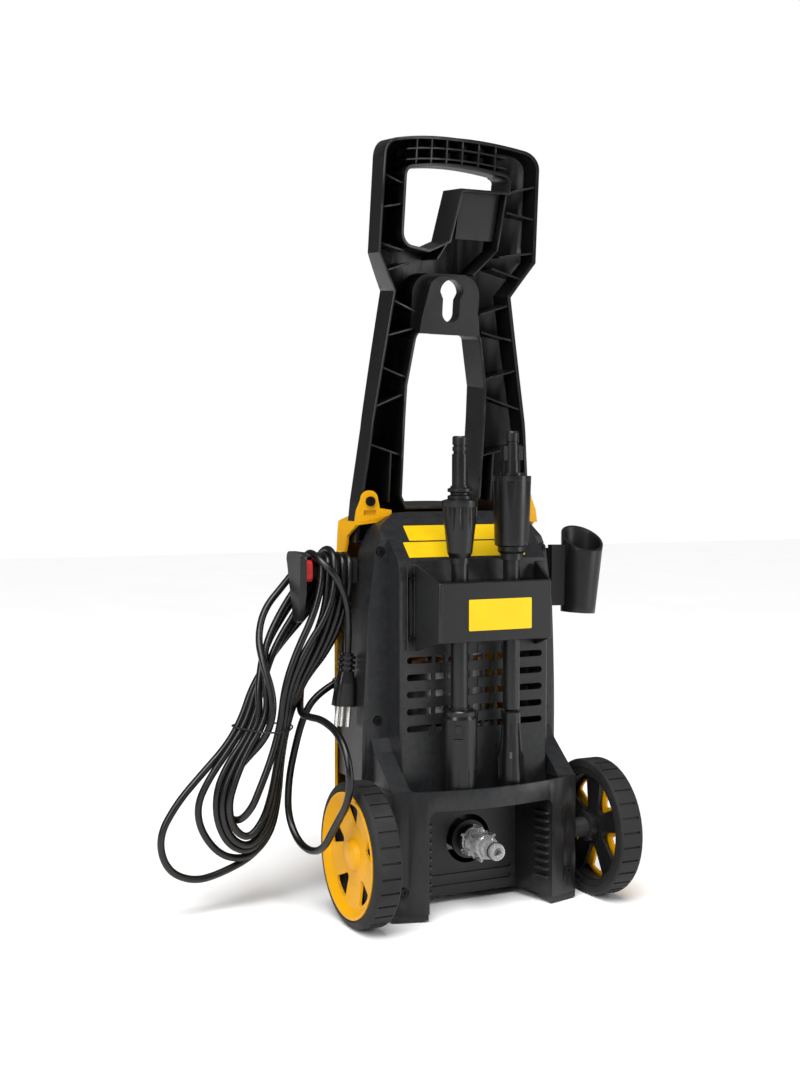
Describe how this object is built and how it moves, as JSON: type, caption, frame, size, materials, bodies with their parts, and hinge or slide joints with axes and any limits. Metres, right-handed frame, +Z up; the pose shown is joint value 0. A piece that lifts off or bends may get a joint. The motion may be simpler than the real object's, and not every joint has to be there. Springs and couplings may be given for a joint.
{
  "type": "pressure washer",
  "caption": "Upright wheeled pressure washer with a tall handle, rear accessory holder, two lances, gun holster, and a mains cord hung in a hank on a side hook.",
  "frame": {"origin": "on the floor under the middle of the machine without its cord", "axes": "+Z up; -Y is the accessory side with lances and water inlet; +Y is the rounded front with the switch; +X is the gun holster's side; -X is the cord hook's side"},
  "size_m": [0.4729, 0.2541, 0.7807],
  "materials": {
    "case_black": "fine-grained moulded polypropylene, charcoal",
    "handle_black": "moulded polypropylene, charcoal, slightly smoother",
    "yellow_plastic": "satin-gloss yellow moulding",
    "tyre_rubber": "hard moulded tread",
    "steel": "plain turned steel",
    "grey_plastic": "grey moulded plastic",
    "screw_steel": "blackened screws",
    "cord_rubber": "black flexible sheath, slight sheen",
    "tie_plastic": "black twist tie",
    "band_red": "red transport tie",
    "pin_steel": "nickel-plated pins",
    "label_yellow": "printed film, plain fields only",
    "lance_black": "smooth black moulded plastic",
    "adapter_black": "black hose adapter",
    "seal_rubber": "soft black rubber",
    "filter_white": "fine white mesh filter",
    "aluminium": "die-cast alloy",
    "copper": "enamelled copper winding",
    "outlet_brass": "turned brass"
  },
  "bodies": {
    "machine": {"accessory_holder": "case_black", "axle_clips": "steel", "axle_spacers": "grey_plastic", "axles": "steel", "base": "case_black", "capacitor": "aluminium", "case_screws": "screw_steel", "cord_gland": "grey_plastic", "cord_hank": "cord_rubber", "cord_hook": "case_black", "cord_lead": "cord_rubber", "cord_tail": "cord_rubber", "cord_tie": "tie_plastic", "field_coils": "copper", "front_cover": "yellow_plastic", "front_feet": "seal_rubber", "gun_holster": "case_black", "handle": "handle_black", "handle_screws": "screw_steel", "high_pressure_outlet": "outlet_brass", "holder_label": "label_yellow", "hook_band": "band_red", "inlet_adapter": "adapter_black", "inlet_filter": "filter_white", "inlet_o_ring": "seal_rubber", "inlet_socket": "grey_plastic", "motor_bearings": "steel", "motor_end_plates": "aluminium", "motor_stator": "steel", "outlet_manifold": "aluminium", "piston_springs": "steel", "pistons": "steel", "plug_body": "cord_rubber", "plug_pins": "pin_steel", "pressure_switch": "grey_plastic", "pump_casing": "aluminium", "pump_head": "aluminium", "rear_cover": "case_black", "suppression_chokes": "grey_plastic", "switch_body": "grey_plastic", "top_label": "label_yellow"},
    "wheel_left_body": {"tyre_left": "tyre_rubber", "wheel_left": "case_black", "hub_cap_left": "yellow_plastic"},
    "wheel_right_body": {"tyre_right": "tyre_rubber", "wheel_right": "case_black", "hub_cap_right": "yellow_plastic"},
    "rotor": {"rotor_core": "steel", "commutator": "copper", "rotor_shaft": "steel", "cooling_fan": "grey_plastic", "swash_plate": "aluminium"},
    "power_knob": {"switch_knob": "grey_plastic"},
    "turbo_lance": {"turbo_lance_tube": "lance_black", "turbo_lance_grip": "lance_black", "turbo_nozzle": "lance_black"},
    "fan_lance": {"fan_lance_tube": "lance_black", "fan_lance_grip": "lance_black"},
    "fan_nozzle_body": {"fan_nozzle": "lance_black"}
  },
  "joints": [
    {"name": "wheel_left_spin", "type": "hinge", "parent": "machine", "child": "wheel_left_body", "pos_m": [-0.134, -0.057, 0.07], "axis": [1, 0, 0], "continuous": true},
    {"name": "wheel_right_spin", "type": "hinge", "parent": "machine", "child": "wheel_right_body", "pos_m": [0.134, -0.057, 0.07], "axis": [1, 0, 0], "continuous": true},
    {"name": "motor_spin", "type": "hinge", "parent": "machine", "child": "rotor", "pos_m": [0, 0.038, 0.2], "axis": [0, 0, 1], "continuous": true},
    {"name": "power_knob_turn", "type": "hinge", "parent": "machine", "child": "power_knob", "pos_m": [0, 0.108, 0.3], "axis": [0, 1, 0], "range_deg": [0, 90]},
    {"name": "turbo_lance_lift", "type": "slide", "parent": "machine", "child": "turbo_lance", "axis": [0, 0, 1], "range_m": [0, 0.25]},
    {"name": "fan_lance_lift", "type": "slide", "parent": "machine", "child": "fan_lance", "axis": [0, 0, 1], "range_m": [0, 0.25]},
    {"name": "fan_nozzle_twist", "type": "hinge", "parent": "fan_lance", "child": "fan_nozzle_body", "pos_m": [0.03, -0.062, 0.15], "axis": [0, 0, 1], "range_deg": [0, 90]}
  ]
}
